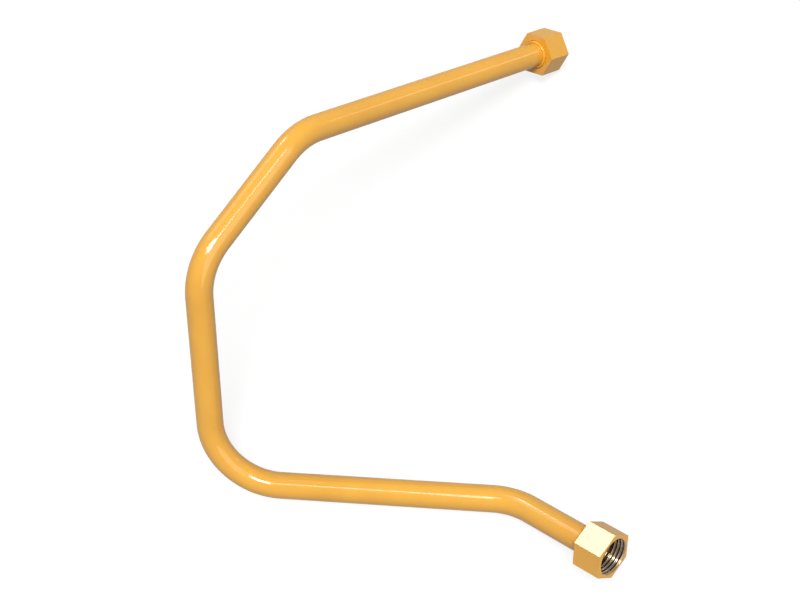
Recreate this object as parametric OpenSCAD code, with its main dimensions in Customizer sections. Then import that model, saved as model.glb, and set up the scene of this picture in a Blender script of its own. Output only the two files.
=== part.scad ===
// Bent tube assembly: one painted steel tube with four bends and a rolled flange at each end.
// Behind each flange a loose support sleeve carries a hexagon swivel nut with an inside thread.
// The part lies as it comes to rest, on its lower straight run and the mouth of the long end's nut.

/* [Tube] */
// Outside diameter of the tube
tube_d = 25.4; // [24:0.1:26.4]
// Wall thickness of the tube
tube_wall = 2.4; // [1.6:0.1:3.2]
// Radius of every bend, to the centre line
bend_r = 63.5; // [50:0.5:80]

/* [Straight runs] */
// Long end's flange face to the first bend
run_1 = 321; // [220:1:400]
// First bend to the second bend
run_2 = 101.5; // [80:0.5:130]
// Second bend to the third bend
run_3 = 132.5; // [110:0.5:160]
// Third bend to the fourth bend, the run that lies on the floor
run_4 = 203.5; // [180:0.5:240]
// Fourth bend to the short end's flange face
run_5 = 80; // [60:0.5:110]

/* [Bends] */
// Angle of the first bend
bend_1_angle = 37.9; // [30:0.1:45]
// Angle of the second bend
bend_2_angle = 51.6; // [45:0.1:60]
// Angle of the third bend
bend_3_angle = 92.3; // [85:0.1:100]
// Angle of the fourth bend
bend_4_angle = 34.8; // [28:0.1:40]
// Turn of the tube about itself between the first and second bends
turn_1_angle = 4.3; // [0:0.1:10]
// Turn of the tube about itself between the second and third bends
turn_2_angle = 52.1; // [46:0.1:58]
// Turn of the tube about itself between the third and fourth bends
turn_3_angle = 96.8; // [90:0.1:104]

/* [Flanges] */
// Thickness of the rolled flange
flange_t = 2.4; // [1.8:0.1:3]
// How far the rolled flange stands out from the tube
flange_lip = 3.8; // [3.2:0.1:4.5]
// Radius behind the flange, where it meets the tube
flange_root_r = 1.6; // [0.8:0.1:1.8]
// Radius of the flange's inner edge, at the tube's bore
flange_bore_r = 1.5; // [0.8:0.1:2]
// Bevel on the flange's rim
flange_bevel = 0.4; // [0.2:0.1:0.8]

/* [Support sleeves] */
// Wall of the sleeve's barrel
sleeve_wall = 1.92; // [1.6:0.02:2.2]
// Length of the sleeve's straight head
sleeve_head_l = 3.2; // [2.4:0.1:4.5]
// Length of the barrel that shows behind the nut
sleeve_proud = 2; // [1:0.1:4]
// Bevel on the sleeve's rear end
sleeve_bevel = 0.9; // [0.4:0.1:1.2]

/* [Swivel nuts] */
// Wall of the hexagon outside the thread's crests, at the middle of a flat
nut_wall = 3.4875; // [2.8:0.0125:5]
// Length of the nut
nut_l = 28; // [26:0.1:32]
// Depth of the flange face inside the nut's mouth
seat_depth = 15; // [13:0.1:16]
// Width of the countersink at the mouth
mouth_bevel = 0.65; // [0.4:0.05:1.2]
// Depth of the relief behind the thread
relief_depth = 1.35; // [0.6:0.05:1.8]
// Length of the relief behind the thread
relief_l = 4.2; // [3.4:0.1:5]
// Length of the thread's relief that lies ahead of the flange face
relief_ahead = 1.8; // [1:0.1:2.4]
// Bevel of the hole in the nut's back
nut_hole_bevel = 0.8; // [0.4:0.1:1.2]
// Depth by which the corners are turned off at the nut's back
nut_corner_cut = 0.6; // [0.3:0.1:1.5]
// Slope of the turned corners on the nut's back
nut_corner_slope = 30; // [20:1:40]
// Turn of the long end's nut about its axis
long_nut_angle = 28.4; // [0:0.1:60]
// Turn of the short end's nut about its axis
short_nut_angle = 24.6; // [0:0.1:60]

/* [Clearances] */
// Radial clearance of the sleeve on the tube and of the nut on the sleeve
running_gap = 0.08; // [0.04:0.01:0.1]
// Gap between the flange and the sleeve, and between the sleeve's shoulder and the nut
seat_gap = 0.06; // [0.03:0.01:0.1]
// Radial clearance of the sleeve's head inside the nut's bore
head_gap = 0.25; // [0.1:0.05:0.4]
// Radial clearance of the flange's rim inside the thread's crests
flange_gap = 0.65; // [0.3:0.05:1]

/* [Hidden] */
$fn = 96;
over = 1;
hex_sides = 6;
bend_step_share = 1 / 90;

tube_r = tube_d / 2;
bore_r = tube_r - tube_wall;
flange_r = tube_r + flange_lip;
flange_zone = flange_t + flange_root_r;

thread_r = flange_r + flange_gap;
mouth_r = thread_r + mouth_bevel;
relief_r = thread_r + relief_depth;
flat_r = thread_r + nut_wall;
hex_r = flat_r / cos(180 / hex_sides);
nut_back = seat_depth - nut_l;

sleeve_bore_r = tube_r + running_gap;
barrel_r = sleeve_bore_r + sleeve_wall;
nut_hole_r = barrel_r + running_gap;
head_r = thread_r - head_gap;
sleeve_front = -flange_t - seat_gap;
sleeve_lead = flange_root_r + 2 * running_gap;
sleeve_shoulder = sleeve_front - sleeve_head_l;
sleeve_rear = nut_back - sleeve_proud;
nut_shoulder = sleeve_shoulder + head_gap - seat_gap;

// A turn's sine and cosine are kept to six digits. Each angle moves by a few hundredths of a degree
// at most, to one whose kept digits still square to one, so that runs and bends meet flush.
kept_digits = 6;
least_share = 1e-9;
angle_step = 0.0001;
angle_tries = 300;
function kept(x) =
    let (unit = pow(10, floor(log(max(abs(x), least_share))) + 1 - kept_digits))
        round(x / unit) * unit;
function square_miss(a) = abs(pow(kept(cos(a)), 2) + pow(kept(sin(a)), 2) - 1);
function flush_angle(a) = let (
    tries = [for (k = [-angle_tries : angle_tries]) a + k * angle_step],
    misses = [for (t = tries) square_miss(t)],
    best = min(misses)
) [for (k = [0 : len(tries) - 1]) if (misses[k] == best) tries[k]][0];

runs = [run_1, run_2, run_3, run_4, run_5];
bends = [for (a = [bend_1_angle, bend_2_angle, bend_3_angle, bend_4_angle]) flush_angle(a)];
turns = [for (a = [turn_1_angle, turn_2_angle, turn_3_angle, 0]) flush_angle(a)];
floor_run_index = 3;
bend_spare_angle = 2;

paint = "#e0a441";

// Rigid moves as 4 x 4 matrices; the tube runs along each frame's own +Z and bends towards its +X
function shift(v) = [[1, 0, 0, v.x], [0, 1, 0, v.y], [0, 0, 1, v.z], [0, 0, 0, 1]];
function about_x(a) = [[1, 0, 0, 0], [0, cos(a), -sin(a), 0], [0, sin(a), cos(a), 0], [0, 0, 0, 1]];
function about_y(a) = [[cos(a), 0, sin(a), 0], [0, 1, 0, 0], [-sin(a), 0, cos(a), 0], [0, 0, 0, 1]];
function about_z(a) = [[cos(a), -sin(a), 0, 0], [sin(a), cos(a), 0, 0], [0, 0, 1, 0], [0, 0, 0, 1]];
function place_of(m) = [m[0][3], m[1][3], m[2][3]];
function column(m, k) = [m[0][k], m[1][k], m[2][k]];
function undo(m) = [
    [for (k = [0, 1, 2, 3]) k < 3 ? m[k][0] : -column(m, 0) * place_of(m)],
    [for (k = [0, 1, 2, 3]) k < 3 ? m[k][1] : -column(m, 1) * place_of(m)],
    [for (k = [0, 1, 2, 3]) k < 3 ? m[k][2] : -column(m, 2) * place_of(m)],
    [0, 0, 0, 1]
];

// What one bend does to the frame that enters it
function round_bend(a) = shift([bend_r, 0, 0]) * about_y(a) * shift([-bend_r, 0, 0]);

// Frame at the start of a straight run, in the frame of the long end's flange face
function run_start(i) =
    i == 0 ? shift([0, 0, 0])
    : bend_start(i - 1) * round_bend(bends[i - 1]) * about_z(turns[i - 1]);
function bend_start(i) = run_start(i) * shift([0, 0, runs[i]]);

// The floor run is laid along +X, and the rest rolls about it until a nut's corner meets the floor
lay_down = [[0, 0, 1, 0], [1, 0, 0, 0], [0, 1, 0, 0], [0, 0, 0, 1]];
along_floor = lay_down * undo(run_start(floor_run_index));

function mouth_corners(end, turn) = [
    for (k = [0 : hex_sides - 1])
        place_of(end * about_z(turn + k * 360 / hex_sides) * shift([hex_r, 0, seat_depth]))
];
function roll_to_floor(p) = -asin(tube_r / norm([p.y, p.z])) - atan2(p.z, p.y);

long_end_local = about_y(180);
short_end_local = bend_start(4);
roll = max([for (p = mouth_corners(along_floor * long_end_local, long_nut_angle)) roll_to_floor(p)]);
rolled = shift([0, 0, tube_r]) * about_x(roll) * along_floor;

// Reach of the whole part along a direction d, from its corners, cylinders and bends
function disc_reach(m, r, d) = place_of(m) * d + r * sqrt(max(0, 1 - pow(column(m, 2) * d, 2)));
function reach(d) = max(concat(
    [for (p = mouth_corners(rolled * long_end_local, long_nut_angle)) p * d],
    [for (p = mouth_corners(rolled * short_end_local, short_nut_angle)) p * d],
    [for (i = [0 : len(bends) - 1]) for (s = [0 : bend_step_share : 1])
        disc_reach(rolled * bend_start(i) * round_bend(s * bends[i]), tube_r, d)]
));
centring = shift([
    (reach([-1, 0, 0]) - reach([1, 0, 0])) / 2,
    (reach([0, -1, 0]) - reach([0, 1, 0])) / 2,
    0
]);
seated = centring * rolled;
long_end = seated * long_end_local;
short_end = seated * short_end_local;

module tube_section() {
    difference() {
        circle(r = tube_r);
        circle(r = bore_r);
    }
}

// One straight run along +Z, less the part of it that a flanged end takes up
module straight_run(i) {
    low = i == 0 ? flange_zone : 0;
    high = runs[i] - (i == len(runs) - 1 ? flange_zone : 0);
    translate([0, 0, low])
        linear_extrude(height = high - low)
            tube_section();
}

// One bend: a sector of a ring about a centre bend_r along +X, cut off where the next run begins
module tube_bend(i) {
    difference() {
        translate([bend_r, 0, 0])
            rotate([90, 0, 180])
                rotate_extrude(angle = bends[i] + bend_spare_angle)
                    translate([bend_r, 0])
                        tube_section();
        around_bend(i)
            translate([-tube_d, -tube_d, 0])
                cube([2 * tube_d, 2 * tube_d, tube_d]);
    }
}

// Carries its children from a bend's start to its end
module around_bend(i) {
    translate([bend_r, 0, 0])
        rotate([0, bends[i], 0])
            translate([-bend_r, 0, 0])
                children();
}

// The tube from the start of run i to the short end's flange face
module tube_from(i) {
    straight_run(i);
    translate([0, 0, runs[i]])
        if (i < len(bends)) {
            tube_bend(i);
            around_bend(i)
                rotate([0, 0, turns[i]])
                    tube_from(i + 1);
        } else {
            flanged_end();
        }
}

// End of the tube with its rolled flange, the face at z = 0 and the mouth towards +Z
module flanged_end() {
    rotate_extrude()
        difference() {
            union() {
                polygon([
                    [bore_r, -flange_t],
                    [flange_r - flange_bevel, -flange_t],
                    [flange_r, -flange_t + flange_bevel],
                    [flange_r, -flange_bevel],
                    [flange_r - flange_bevel, 0],
                    [bore_r, 0]
                ]);
                translate([bore_r, -flange_zone])
                    square([tube_wall + flange_root_r, flange_root_r]);
            }
            translate([tube_r + flange_root_r, -flange_zone])
                circle(r = flange_root_r);
            difference() {
                translate([bore_r - over, -flange_bore_r])
                    square([flange_bore_r + over, flange_bore_r + over]);
                translate([bore_r + flange_bore_r, -flange_bore_r])
                    circle(r = flange_bore_r);
            }
        }
}

module tube() {
    color(paint)
        multmatrix(seated) {
            rotate([0, 180, 0])
                flanged_end();
            tube_from(0);
        }
}

// Turned sleeve: a head behind the flange, a 45 degree shoulder and a barrel through the nut's hole
module support_sleeve() {
    color(paint)
        rotate_extrude()
            polygon([
                [sleeve_bore_r + sleeve_lead, sleeve_front],
                [head_r - flange_bevel, sleeve_front],
                [head_r, sleeve_front - flange_bevel],
                [head_r, sleeve_shoulder],
                [barrel_r, sleeve_shoulder - (head_r - barrel_r)],
                [barrel_r, sleeve_rear + sleeve_bevel],
                [barrel_r - sleeve_bevel, sleeve_rear],
                [sleeve_bore_r, sleeve_rear],
                [sleeve_bore_r, sleeve_front - sleeve_lead]
            ]);
}

// Everything that is turned away inside the nut, from its mouth to the hole in its back
module nut_bore() {
    rotate_extrude()
        polygon([
            [0, seat_depth + over],
            [mouth_r + over, seat_depth + over],
            [thread_r, seat_depth - mouth_bevel],
            [thread_r, relief_ahead + relief_depth],
            [relief_r, relief_ahead],
            [relief_r, relief_ahead - relief_l + relief_depth],
            [thread_r, relief_ahead - relief_l],
            [thread_r, nut_shoulder],
            [nut_hole_r, nut_shoulder - (thread_r - nut_hole_r)],
            [nut_hole_r, nut_back + nut_hole_bevel],
            [nut_hole_r + nut_hole_bevel + over, nut_back - over],
            [0, nut_back - over]
        ]);
}

// Blank that the hexagon is cut down to: its corners are turned off at the back
module turned_blank() {
    outer_r = hex_r + over;
    back_r = hex_r - nut_corner_cut;
    rotate_extrude()
        polygon([
            [0, nut_back],
            [back_r, nut_back],
            [outer_r, nut_back + (outer_r - back_r) * tan(nut_corner_slope)],
            [outer_r, seat_depth + over],
            [0, seat_depth + over]
        ]);
}

module swivel_nut(turn) {
    color(paint)
        difference() {
            intersection() {
                translate([0, 0, nut_back])
                    rotate([0, 0, turn])
                        cylinder(r = hex_r, h = nut_l, $fn = hex_sides);
                turned_blank();
            }
            nut_bore();
        }
}

module long_end_sleeve() {
    multmatrix(long_end)
        support_sleeve();
}

module long_end_nut() {
    multmatrix(long_end)
        swivel_nut(long_nut_angle);
}

module short_end_sleeve() {
    multmatrix(short_end)
        support_sleeve();
}

module short_end_nut() {
    multmatrix(short_end)
        swivel_nut(short_nut_angle);
}

tube();
long_end_sleeve();
long_end_nut();
short_end_sleeve();
short_end_nut();
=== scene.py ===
# Bent tube assembly: a painted steel tube with four bends, and a swivel nut on a sleeve at each end.
# Lengths are in metres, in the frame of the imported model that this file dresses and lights.
from math import cos, hypot, pi, radians, sin, tan

import bmesh
import bpy
from mathutils import Matrix, Vector


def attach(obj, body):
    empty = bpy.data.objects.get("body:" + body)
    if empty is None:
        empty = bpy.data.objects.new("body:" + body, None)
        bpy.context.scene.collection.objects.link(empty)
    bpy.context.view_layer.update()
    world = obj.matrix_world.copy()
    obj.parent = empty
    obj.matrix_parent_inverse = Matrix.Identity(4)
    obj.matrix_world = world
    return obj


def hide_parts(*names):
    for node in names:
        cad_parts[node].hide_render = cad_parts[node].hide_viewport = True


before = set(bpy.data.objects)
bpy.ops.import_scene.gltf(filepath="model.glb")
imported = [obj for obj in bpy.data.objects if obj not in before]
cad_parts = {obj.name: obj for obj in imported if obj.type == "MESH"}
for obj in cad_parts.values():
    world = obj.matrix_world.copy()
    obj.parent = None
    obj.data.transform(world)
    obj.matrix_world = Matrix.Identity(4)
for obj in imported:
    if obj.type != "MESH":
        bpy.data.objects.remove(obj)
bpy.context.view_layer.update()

# The tube: one length of drawn steel tube, cold bent four times to one radius. Each end is rolled
# out to a flat flange that seals against the fitting. It is sprayed after bending with the nuts in
# place and the ends plugged, so the outside is yellow and the flange's face and the bore are bare.
mm = 0.001
tube_r = 12.7 * mm
bore_r = 10.3 * mm
bend_r = 63.5 * mm
flange_r = 16.5 * mm
flange_t = 2.4 * mm
flange_root_r = 1.6 * mm
flange_bore_r = 1.5 * mm
flange_bevel = 0.4 * mm
run_lengths = [321 * mm, 101.5 * mm, 132.5 * mm, 203.5 * mm, 80 * mm]
bend_angles = [radians(a) for a in (37.9019, 51.6198, 92.3247, 34.7774)]
turn_angles = [radians(a) for a in (4.3001, 52.0981, 96.8012, 0)]
round_steps = 96
bend_step = radians(1.6)
arc_steps = 6
closing_gap = 0.005 * mm
tube_creases = (35, 35)

# Place of the long end's flange face, with +Z into the tube and +X towards the first bend's centre
tube_start = Matrix((
    (-0.0828591, 0.812386, -0.577204, 92.0708 * mm),
    (-0.585967, -0.508209, -0.631162, 269.681 * mm),
    (-0.806087, 0.285925, 0.518141, 27.9102 * mm),
    (0, 0, 0, 1),
))


def pulled(bm, ring, move):
    """Extrudes a ring of edges, moves the copy and returns its edges."""
    made = bmesh.ops.extrude_edge_only(bm, edges=ring)["geom"]
    verts = {g for g in made if isinstance(g, bmesh.types.BMVert)}
    bmesh.ops.transform(bm, matrix=move, verts=list(verts))
    return [g for g in made if isinstance(g, bmesh.types.BMEdge) and set(g.verts) <= verts]


def drawn_on(bm, ring, place, length, width_share=1.0):
    """Draws a ring on along the place's own axis, widening or narrowing it about that axis."""
    resize = Matrix.Diagonal((width_share, width_share, 1, 1))
    return pulled(bm, ring, place @ Matrix.Translation((0, 0, length)) @ resize @ place.inverted())


def round_bend(angle):
    """The move round a bend whose centre lies along +X."""
    to_centre = Matrix.Translation((bend_r, 0, 0))
    return to_centre @ Matrix.Rotation(angle, 4, "Y") @ to_centre.inverted()


def bent_round(bm, ring, place, angle):
    """Takes a ring round a bend that starts at the place."""
    steps = round(abs(angle) / bend_step)
    for _ in range(steps):
        ring = pulled(bm, ring, place @ round_bend(angle / steps) @ place.inverted())
    return ring


def arc_points(centre, radius, start, end):
    """Points (radius, height) along an arc of a turned outline, from one angle in degrees to another."""
    angles = [radians(start + (end - start) * k / arc_steps) for k in range(arc_steps + 1)]
    return [(centre[0] + radius * cos(a), centre[1] + radius * sin(a)) for a in angles]


def over_flange(bm, ring, mouth, outline):
    """Takes a ring along an outline of (radius, height) points, where +Z comes out of the mouth."""
    for (r_was, z_was), (r_now, z_now) in zip(outline, outline[1:]):
        ring = drawn_on(bm, ring, mouth, z_now - z_was, r_now / r_was)
    return ring


def finished(bm, name, materials, body, node, creases):
    """Makes the object. Edges that turn by more than their material's crease, in degrees, stay sharp."""
    bmesh.ops.recalc_face_normals(bm, faces=bm.faces[:])
    for face in bm.faces:
        face.smooth = True
    for edge in bm.edges:
        crease = min(creases[face.material_index] for face in edge.link_faces)
        edge.smooth = edge.calc_face_angle(0) < radians(crease)
    mesh = bpy.data.meshes.new(name)
    bm.to_mesh(mesh)
    bm.free()
    for material in materials:
        mesh.materials.append(material)
    piece = bpy.data.objects.new(name, mesh)
    bpy.context.scene.collection.objects.link(piece)
    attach(piece, body)
    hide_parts(node)


def linear(hex_colour):
    """An sRGB hex colour as linear red, green, blue and alpha."""
    shares = [int(hex_colour[k:k + 2], 16) / 255 for k in (1, 3, 5)]
    return [c / 12.92 if c <= 0.04045 else ((c + 0.055) / 1.055) ** 2.4 for c in shares] + [1.0]


def add_node(owner, kind, settings, links=()):
    """Adds a node with its settings and sockets by name, and links (socket, source) pairs to it."""
    node = owner.node_tree.nodes.new(kind)
    for name, value in settings.items():
        if isinstance(name, int) or name in node.inputs:
            node.inputs[name].default_value = value
        else:
            setattr(node, name, value)
    for socket, source in links:
        owner.node_tree.links.new(source, node.inputs[socket])
    return node


def empty_material(name):
    material = bpy.data.materials.new(name)
    material.use_nodes = True
    material.node_tree.nodes.clear()
    return material


# Gloss enamel, sprayed on steel: an even warm yellow under a thin clear shine that mirrors the lamps
# sharply but grows only a little towards the tube's edges, as in the photograph. The colour is a
# shade deeper where it ran thin, over patches about 45 mm wide.
patch_width = 45 * mm
enamel = empty_material("sprayed_gloss_enamel")
enamel_place = add_node(enamel, "ShaderNodeTexCoord", {})
coat_thickness = add_node(
    enamel, "ShaderNodeTexNoise", {"Scale": 1 / patch_width, "Detail": 3.0, "Roughness": 0.55},
    [("Vector", enamel_place.outputs["Object"])],
)
coat_colour = add_node(enamel, "ShaderNodeValToRGB", {}, [("Fac", coat_thickness.outputs["Fac"])])
thin_coat, full_coat = coat_colour.color_ramp.elements
thin_coat.position = 0.32
thin_coat.color = linear("#E9A832")
full_coat.position = 0.6
full_coat.color = linear("#EFAE36")
pigment_roughness = add_node(enamel, "ShaderNodeMapRange", {"To Min": 0.35, "To Max": 0.5},
                             [("Value", coat_thickness.outputs["Fac"])])
enamel_shader = add_node(
    enamel, "ShaderNodeBsdfPrincipled",
    {"Metallic": 0.0, "IOR": 1.5, "Specular IOR Level": 0.0, "Coat Weight": 0.45, "Coat Roughness": 0.13,
     "Coat IOR": 2.0},
    [("Base Color", coat_colour.outputs["Color"]), ("Roughness", pigment_roughness.outputs["Result"])],
)
add_node(enamel, "ShaderNodeOutputMaterial", {}, [("Surface", enamel_shader.outputs["BSDF"])])

# Bare machined steel: a smooth metal of a warm grey, dark in the nut's shade with clear glints on the
# thread's crests. The cutting tool leaves it a little uneven, which blurs what it mirrors. Real tool
# marks are too fine to show, so they are drawn 2 mm wide.
tool_mark_width = 2 * mm
steel = empty_material("bare_machined_steel")
steel_place = add_node(steel, "ShaderNodeTexCoord", {})
tool_marks = add_node(steel, "ShaderNodeTexNoise", {"Scale": 1 / tool_mark_width, "Detail": 2.0},
                      [("Vector", steel_place.outputs["Object"])])
steel_polish = add_node(steel, "ShaderNodeMapRange", {"To Min": 0.08, "To Max": 0.16},
                        [("Value", tool_marks.outputs["Fac"])])
steel_shader = add_node(
    steel, "ShaderNodeBsdfPrincipled", {"Metallic": 1.0, "Base Color": linear("#958673")},
    [("Roughness", steel_polish.outputs["Result"])],
)
add_node(steel, "ShaderNodeOutputMaterial", {}, [("Surface", steel_shader.outputs["BSDF"])])

# From the paint's edge behind the flange, over its rim and face, and into the bore
flange_zone = flange_t + flange_root_r
flange_outline = (
    arc_points((tube_r + flange_root_r, -flange_zone), flange_root_r, 180, 90)
    + [(flange_r - flange_bevel, -flange_t), (flange_r, -flange_t + flange_bevel)]
    + [(flange_r, -flange_bevel), (flange_r - flange_bevel, 0)]
    + arc_points((bore_r + flange_bore_r, -flange_bore_r), flange_bore_r, 90, 180)
    + [(bore_r, -flange_zone)]
)
straights = run_lengths[:]
straights[0] -= flange_zone
straights[-1] -= flange_zone
run_starts, run_ends = [], []
place = tube_start @ Matrix.Translation((0, 0, flange_zone))
for index, length in enumerate(straights):
    run_starts.append(place)
    place = place @ Matrix.Translation((0, 0, length))
    run_ends.append(place)
    if index < len(bend_angles):
        place = place @ round_bend(bend_angles[index]) @ Matrix.Rotation(turn_angles[index], 4, "Z")
long_mouth = tube_start @ Matrix.Rotation(pi, 4, "Y")
short_mouth = run_ends[-1] @ Matrix.Translation((0, 0, flange_zone))

bm = bmesh.new()
bmesh.ops.create_circle(bm, segments=round_steps, radius=tube_r, matrix=run_starts[0])
ring = bm.edges[:]
for index, length in enumerate(straights):
    ring = drawn_on(bm, ring, run_starts[index], length)
    if index < len(bend_angles):
        ring = bent_round(bm, ring, run_ends[index], bend_angles[index])
painted = set(bm.faces)
ring = over_flange(bm, ring, short_mouth, flange_outline)
for index in reversed(range(len(straights))):
    ring = drawn_on(bm, ring, run_starts[index], -straights[index])
    if index > 0:
        ring = bent_round(bm, ring, run_ends[index - 1], -bend_angles[index - 1])
over_flange(bm, ring, long_mouth, flange_outline[::-1])
for face in bm.faces:
    face.material_index = 0 if face in painted else 1
bmesh.ops.remove_doubles(bm, verts=bm.verts[:], dist=closing_gap)
finished(bm, "painted_tube", [enamel, steel], "tube", "tube", tube_creases)

# The support sleeves: a turned steel sleeve slides on each end of the tube. Its head bears on the
# back of the flange, and its barrel comes out through the hole in the nut's back, 2 mm proud, with
# its end rounded over. Heights are from the flange's face, and fall towards the barrel's end.
sleeve_bore_r = 12.78 * mm
bore_mouth_r = 14.54 * mm
bore_mouth_back = -4.22 * mm
head_r = 16.9 * mm
head_front = -2.46 * mm
head_back = -5.66 * mm
head_bevel = 0.4 * mm
barrel_r = 14.7 * mm
barrel_front = -7.86 * mm
barrel_back = -14.1 * mm
bore_back = -14.66 * mm
rounded_end = [(r * mm, z * mm) for r, z in (
    (14.45, -14.6), (13.95, -14.92), (13.5, -15.0), (13.1, -15.0), (12.86, -14.9),
)]
sleeve_outline = [
    (bore_mouth_r, head_front), (head_r - head_bevel, head_front), (head_r, head_front - head_bevel),
    (head_r, head_back), (barrel_r, barrel_front), (barrel_r, barrel_back),
    *rounded_end, (sleeve_bore_r, bore_back), (sleeve_bore_r, bore_mouth_back),
]
turned_steps = 2 * round_steps
sleeve_creases = (50,)


def turned(bm, outline, closed):
    """Spins an outline of (radius, height) points once round +Z."""
    verts = [bm.verts.new((r, 0, z)) for r, z in outline]
    following = verts[1:] + verts[:1] if closed else verts[1:]
    edges = [bm.edges.new(pair) for pair in zip(verts, following)]
    bmesh.ops.spin(bm, geom=verts + edges, cent=(0, 0, 0), axis=(0, 0, 1), angle=2 * pi,
                   steps=turned_steps, use_merge=True, use_normal_flip=False, use_duplicate=False)


for end, mouth in (("long_end", long_mouth), ("short_end", short_mouth)):
    bm = bmesh.new()
    turned(bm, sleeve_outline, True)
    bmesh.ops.transform(bm, matrix=mouth, verts=bm.verts[:])
    finished(bm, end + "_support_sleeve", [enamel], end + "_sleeve", end + "_sleeve",
             sleeve_creases)

# The swivel nuts: each is turned and tapped from hexagon bar, 1 5/8 in (41.275 mm) across the
# flats, with its back corners just broken. The outside is painted with the tube; the thread was
# plugged for the spraying, so it and the bore behind it are bare steel.
flat_r = 41.275 / 2 * mm
corner_r = flat_r / cos(pi / 6)
nut_front = 15 * mm
nut_back = -13 * mm
back_corner_r = corner_r - 0.6 * mm
back_corner_slope = radians(30)
nut_edge_r = 0.45 * mm
nut_edge_turn = radians(20)
thread_low = 3.0 * mm
crest_r = 17.15 * mm
root_r = 18.26 * mm
mouth_r = 17.8 * mm
face_inner_r = 18.45 * mm
relief_r = 18.5 * mm
relief_front = 1.8 * mm
relief_back = -1.05 * mm
plain_bore_front = -2.4 * mm
plain_bore_back = -5.47 * mm
barrel_hole_r = 14.78 * mm
barrel_hole_front = -7.84 * mm
hole_edge_front = -12.2 * mm
hole_edge_r = 15.58 * mm
blank_r = corner_r + 1 * mm
nut_outline = [
    (relief_r, relief_front), (relief_r, relief_back), (crest_r, plain_bore_front),
    (crest_r, plain_bore_back), (barrel_hole_r, barrel_hole_front), (barrel_hole_r, hole_edge_front),
    (hole_edge_r, nut_back), (back_corner_r, nut_back),
    (blank_r, nut_back + (blank_r - back_corner_r) * tan(back_corner_slope)), (blank_r, nut_front),
    (face_inner_r, nut_front),
]
# Half a turn of the thread, from the middle of a crest to the middle of a root: shares of the pitch
# and of the depth. The photograph shows its crests about 3.5 mm apart, with rounded edges.
pitch = 3.5 * mm
thread_turns = 6
turns_below = 1.5
half_thread_shares = [(0, 0), (0.1, 0.01), (0.17, 0.05), (0.22, 0.13), (0.27, 0.28), (0.32, 0.5),
                      (0.37, 0.72), (0.42, 0.87), (0.46, 0.96), (0.5, 1)]
thread_shares = half_thread_shares + [(1 - along, deep) for along, deep in half_thread_shares[-2::-1]]
# What counts as one point, one height or one plane when the nut's surfaces are joined
turn_gap = 0.003 * mm
rim_slack = 0.002 * mm
cut_slack = 1e-8
# Bare steel inside the nut ends at this height at the back, and this far short of the painted faces
bare_back = -12.1 * mm
bare_margin = 0.02 * mm
outer_margin = 0.5 * mm
nut_creases = (8, 35)


def rim_at(bm, height):
    """The open edges that lie at one height."""
    return [e for e in bm.edges if e.is_boundary and all(abs(v.co.z - height) < rim_slack for v in e.verts)]


def cut_away(bm, point, outwards):
    """Cuts off all that lies beyond a plane and returns the cut's edges."""
    cut = bmesh.ops.bisect_plane(bm, geom=bm.verts[:] + bm.edges[:] + bm.faces[:], dist=cut_slack,
                                 plane_co=point, plane_no=outwards, clear_outer=True)
    return [g for g in cut["geom_cut"] if isinstance(g, bmesh.types.BMEdge)]


def tapped_thread():
    """The thread's surface from the relief to the mouth, with the countersink cut into it."""
    thread = bmesh.new()
    start = thread_low - turns_below * pitch
    verts = [thread.verts.new((crest_r + deep * (root_r - crest_r), 0, start + along * pitch))
             for along, deep in thread_shares]
    edges = [thread.edges.new(pair) for pair in zip(verts, verts[1:])]
    steps = thread_turns * round_steps
    bmesh.ops.spin(thread, geom=verts + edges, cent=(0, 0, 0), axis=(0, 0, 1), angle=2 * pi * thread_turns,
                   dvec=(0, 0, pitch * thread_turns / steps), steps=steps)
    bmesh.ops.remove_doubles(thread, verts=thread.verts[:], dist=turn_gap)
    for vert in thread.verts:
        width = hypot(vert.co.x, vert.co.y)
        sunk = mouth_r - (nut_front - vert.co.z)
        if width < sunk < root_r:
            vert.co.xy *= sunk / width
    cut_away(thread, (0, 0, thread_low), (0, 0, -1))
    cut_away(thread, (0, 0, nut_front), (0, 0, 1))
    mesh = bpy.data.meshes.new("tapped_thread")
    thread.to_mesh(mesh)
    thread.free()
    return mesh


def swivel_nut(end, mouth, turn):
    """Makes one end's nut, with its hexagon turned about the nut's own axis by some degrees."""
    bm = bmesh.new()
    turned(bm, nut_outline, False)
    for side in range(6):
        angle = radians(turn + 30 + 60 * side)
        outwards = Vector((cos(angle), sin(angle), 0))
        bmesh.ops.edgeloop_fill(bm, edges=cut_away(bm, outwards * flat_r, outwards))
    bmesh.ops.recalc_face_normals(bm, faces=bm.faces[:])
    outer_edges = [e for e in bm.edges if len(e.link_faces) == 2 and e.calc_face_angle(0) > nut_edge_turn
                   and min(v.co.xy.length for v in e.verts) > flat_r - outer_margin]
    bmesh.ops.bevel(bm, geom=outer_edges, offset=nut_edge_r, offset_type="OFFSET", segments=3, profile=0.5,
                    affect="EDGES", clamp_overlap=True, material=-1)
    thread_mesh = tapped_thread()
    bm.from_mesh(thread_mesh)
    bpy.data.meshes.remove(thread_mesh)
    bmesh.ops.bridge_loops(bm, edges=rim_at(bm, thread_low) + rim_at(bm, relief_front))
    bmesh.ops.bridge_loops(bm, edges=rim_at(bm, nut_front))
    for face in bm.faces:
        middle = face.calc_center_median()
        inside = middle.xy.length < relief_r + bare_margin and bare_back < middle.z < nut_front - bare_margin
        face.material_index = 1 if inside else 0
    bmesh.ops.transform(bm, matrix=mouth, verts=bm.verts[:])
    finished(bm, end + "_swivel_nut", [enamel, steel], end + "_nut", end + "_nut",
             nut_creases)


swivel_nut("long_end", long_mouth, 28.4)
swivel_nut("short_end", short_mouth, 24.6)

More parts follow.
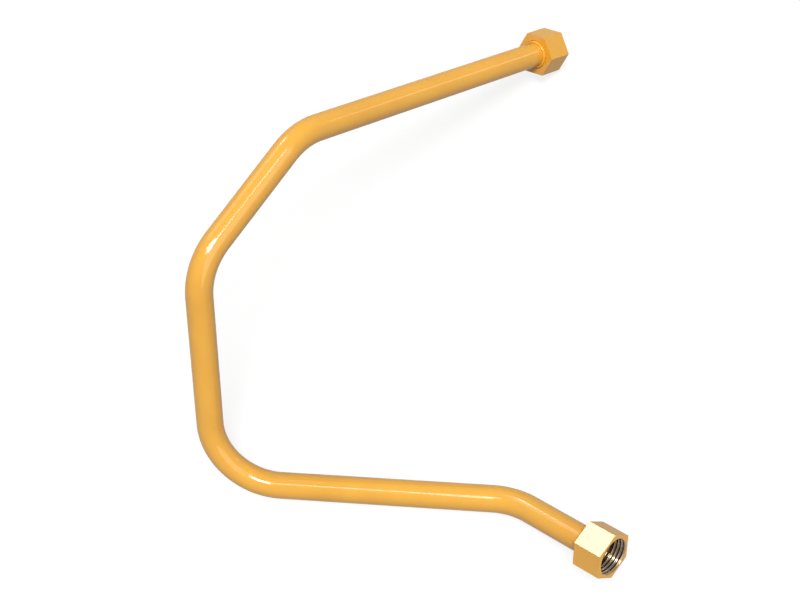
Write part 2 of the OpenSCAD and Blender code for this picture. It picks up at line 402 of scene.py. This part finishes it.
# The floor: a plain white studio floor that the part lies on. Most of its white is its own glow, as
# the camera, gloss and glass see it, and a thin matte share catches the lamps and the part's shadow.
floor_half = 12.0
floor_glow = 0.81
floor_grey = 0.2
bm = bmesh.new()
bmesh.ops.create_grid(bm, x_segments=1, y_segments=1, size=floor_half)
floor_mesh = bpy.data.meshes.new("studio_floor")
bm.to_mesh(floor_mesh)
bm.free()
floor = bpy.data.objects.new("studio_floor", floor_mesh)
bpy.context.scene.collection.objects.link(floor)


def seen_directly(owner):
    """1 for what the camera, a gloss or a glass shows, 0 for the light that falls on the part."""
    rays = add_node(owner, "ShaderNodeLightPath", {})
    shown = rays.outputs["Is Camera Ray"]
    for kind in ("Is Glossy Ray", "Is Transmission Ray"):
        shown = add_node(owner, "ShaderNodeMath", {"operation": "MAXIMUM"},
                         [(0, shown), (1, rays.outputs[kind])]).outputs[0]
    return shown


floor_white = empty_material("white_studio_floor")
glow_strength = add_node(floor_white, "ShaderNodeMath", {"operation": "MULTIPLY", 1: floor_glow},
                         [(0, seen_directly(floor_white))])
glow = add_node(floor_white, "ShaderNodeEmission", {"Color": (1, 1, 1, 1)},
                [("Strength", glow_strength.outputs[0])])
matte = add_node(floor_white, "ShaderNodeBsdfDiffuse", {"Color": (floor_grey, floor_grey, floor_grey, 1)})
floor_sum = add_node(floor_white, "ShaderNodeAddShader", {}, [(0, matte.outputs[0]), (1, glow.outputs[0])])
add_node(floor_white, "ShaderNodeOutputMaterial", {}, [("Surface", floor_sum.outputs[0])])
floor_mesh.materials.append(floor_white)

# The room: a white room all round, at full white as the camera, gloss and glass see it. For all other
# light it is only a weak even fill, so that the lamps shape the part.
room_fill = 0.06
room_white = 1.0
world = bpy.data.worlds.new("white_room")
world.use_nodes = True
world.node_tree.nodes.clear()
room_strength = add_node(world, "ShaderNodeMapRange", {"To Min": room_fill, "To Max": room_white},
                         [("Value", seen_directly(world))])
room = add_node(world, "ShaderNodeBackground", {"Color": (1, 1, 1, 1)},
                [("Strength", room_strength.outputs["Result"])])
add_node(world, "ShaderNodeOutputWorld", {}, [("Surface", room.outputs[0])])
bpy.context.scene.world = world

# The lamps: large soft boxes about 9 m away. The main one overhead gives most of the light and the
# white glints on the bends, two wide ones fill in from the front and the back, and narrow ones make
# the thin streaks on the straight runs and the bright flat of the lower nut.
part_middle = Vector((0, 0, 0.08))


def soft_box(name, place, width, height, power, turn=0):
    """A rectangular lamp, in metres and watts, facing the part's middle and turned by some degrees."""
    lamp = bpy.data.lights.new(name, "AREA")
    lamp.shape = "RECTANGLE"
    lamp.size = width
    lamp.size_y = height
    lamp.energy = power
    box = bpy.data.objects.new(name, lamp)
    facing = (Vector(place) - part_middle).to_track_quat("Z", "Y").to_matrix().to_4x4()
    box.matrix_world = Matrix.Translation(place) @ facing @ Matrix.Rotation(radians(turn), 4, "Z")
    bpy.context.scene.collection.objects.link(box)


soft_box("main_box", (0.95, -2.06, 8.9), 2.6, 3.8, 680, 48)
soft_box("front_box", (5.58, -4.59, 5.48), 6.9, 6.9, 216)
soft_box("back_box", (-4.77, 4.23, 6.47), 4.5, 4.5, 90)
soft_box("nut_box", (-3.8, 4.94, 6.2), 1.14, 1.14, 56)
soft_box("left_strip", (-1.93, -1.16, 8.76), 0.75, 2.3, 54, -30)
soft_box("right_strip", (3.34, -0.68, 8.49), 0.5, 2.0, 28, 6)
soft_box("low_strip", (7.74, 4.2, 2.1), 0.9, 1.8, 14)

# The camera: above the part and in front of it, looking down as for the photograph. Its place and
# its lens were worked out from the tube's edges and the nuts in the photograph.
photo_width = 800
focal_pixels = 1349.136
lens = bpy.data.cameras.new("camera")
lens.sensor_fit = "HORIZONTAL"
lens.sensor_width = 36.0
lens.lens = focal_pixels * lens.sensor_width / photo_width
lens.clip_start = 0.05
lens.clip_end = 60
camera = bpy.data.objects.new("camera", lens)
camera.matrix_world = Matrix((
    (0.98293445, -0.03663585, 0.18027112, 211.983 * mm),
    (0.1089166, 0.9056398, -0.40982158, -578.199 * mm),
    (-0.14824654, 0.42246227, 0.89417481, 1227.978 * mm),
    (0, 0, 0, 1),
))
bpy.context.scene.collection.objects.link(camera)
bpy.context.scene.camera = camera
bpy.context.scene.view_settings.view_transform = "Standard"
